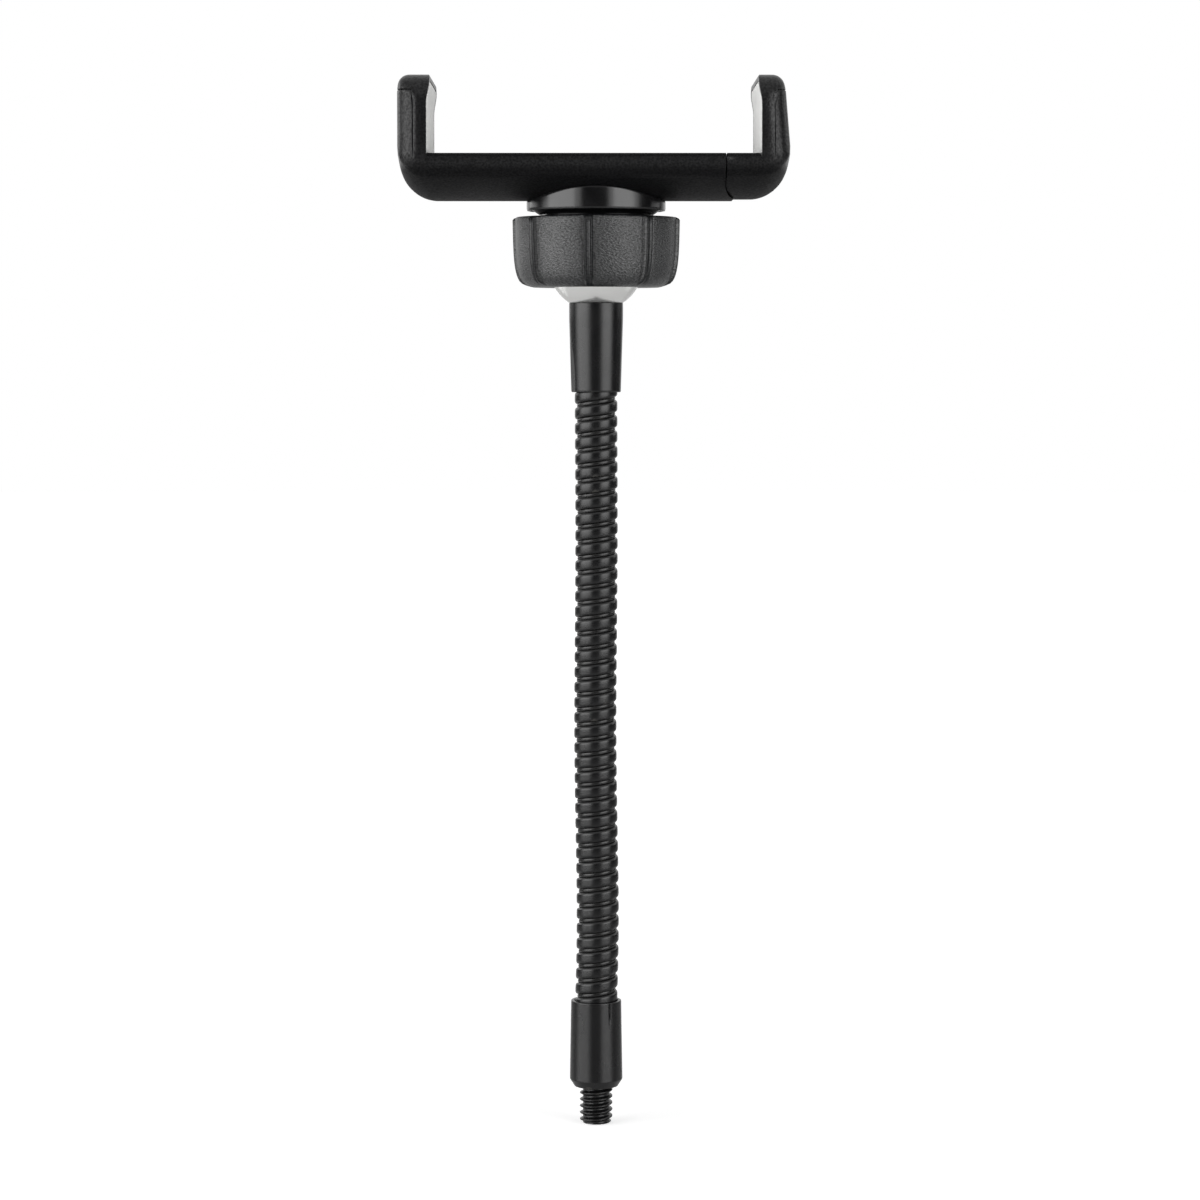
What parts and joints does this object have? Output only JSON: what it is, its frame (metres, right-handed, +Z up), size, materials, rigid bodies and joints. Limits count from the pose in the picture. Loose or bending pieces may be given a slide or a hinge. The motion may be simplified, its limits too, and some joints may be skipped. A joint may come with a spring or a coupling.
{
  "type": "phone clamp holder",
  "caption": "Spring-jaw phone clamp on a ball joint with a ribbed lock nut, carried by a bendable metal gooseneck that ends in a threaded stud.",
  "frame": {"origin": "centre of the lower ferrule's end face, on the shoulder where the threaded stud leaves it", "axes": "+Z up along the neck, -Z the way the stud points, +X the way the sliding jaw opens, -Y towards the viewer of the picture"},
  "size_m": [0.0724, 0.036, 0.1978],
  "materials": {
    "black_steel": "satin black lacquer on steel",
    "black_abs": "matt, fine spark-eroded grain",
    "gloss_socket": "smooth, half gloss",
    "ribbed_nylon": "grained panels, smooth ribs",
    "grey_silicone": "soft, matt, light grey",
    "nickel_ball": "polished, nickel plated",
    "zinc_screw": "zinc plated",
    "spring_steel": "bright spring wire"
  },
  "bodies": {
    "base": {"threaded_stud": "black_steel", "lower_ferrule": "black_steel"},
    "neck": {"neck_strip": "black_steel", "neck_coil": "black_steel"},
    "neck_top": {"upper_ferrule": "black_steel"},
    "ball": {"ball_stud": "nickel_ball"},
    "nut": {"clamp_nut": "ribbed_nylon"},
    "clamp": {"ball_socket": "gloss_socket", "socket_screws": "zinc_screw", "rear_shell": "black_abs", "front_cover": "black_abs", "cover_screws": "zinc_screw", "fixed_jaw_liner": "black_abs", "fixed_liner_screws": "zinc_screw", "fixed_jaw_pad": "grey_silicone", "near_spring": "spring_steel", "far_spring": "spring_steel"},
    "slide": {"sliding_jaw": "black_abs", "sliding_jaw_liner": "black_abs", "sliding_liner_screws": "zinc_screw", "sliding_jaw_pad": "grey_silicone"}
  },
  "joints": [
    {"name": "lower_bend", "type": "hinge", "parent": "base", "child": "neck", "pos_m": [0, 0, 0.0454], "axis": [1, 0, 0], "range_deg": [-60, 60], "deforming": ["neck_strip", "neck_coil"]},
    {"name": "upper_bend", "type": "hinge", "parent": "neck", "child": "neck_top", "pos_m": [0, 0, 0.1033], "axis": [1, 0, 0], "range_deg": [-60, 60], "deforming": ["neck_strip", "neck_coil"]},
    {"name": "ball_pan", "type": "hinge", "parent": "neck_top", "child": "ball", "pos_m": [0, 0, 0.15655], "axis": [0, 0, 1], "continuous": true},
    {"name": "ball_tilt", "type": "hinge", "parent": "ball", "child": "nut", "pos_m": [0, 0, 0.15655], "axis": [1, 0, 0], "range_deg": [-22, 22]},
    {"name": "clamp_spin", "type": "hinge", "parent": "nut", "child": "clamp", "pos_m": [0, 0, 0.15655], "axis": [0, 0, 1], "continuous": true},
    {"name": "jaw_slide", "type": "slide", "parent": "clamp", "child": "slide", "axis": [1, 0, 0], "range_m": [0, 0.03], "stiffness_N_per_m": 300, "springref_m": -0.02, "deforming": ["near_spring", "far_spring"]}
  ]
}
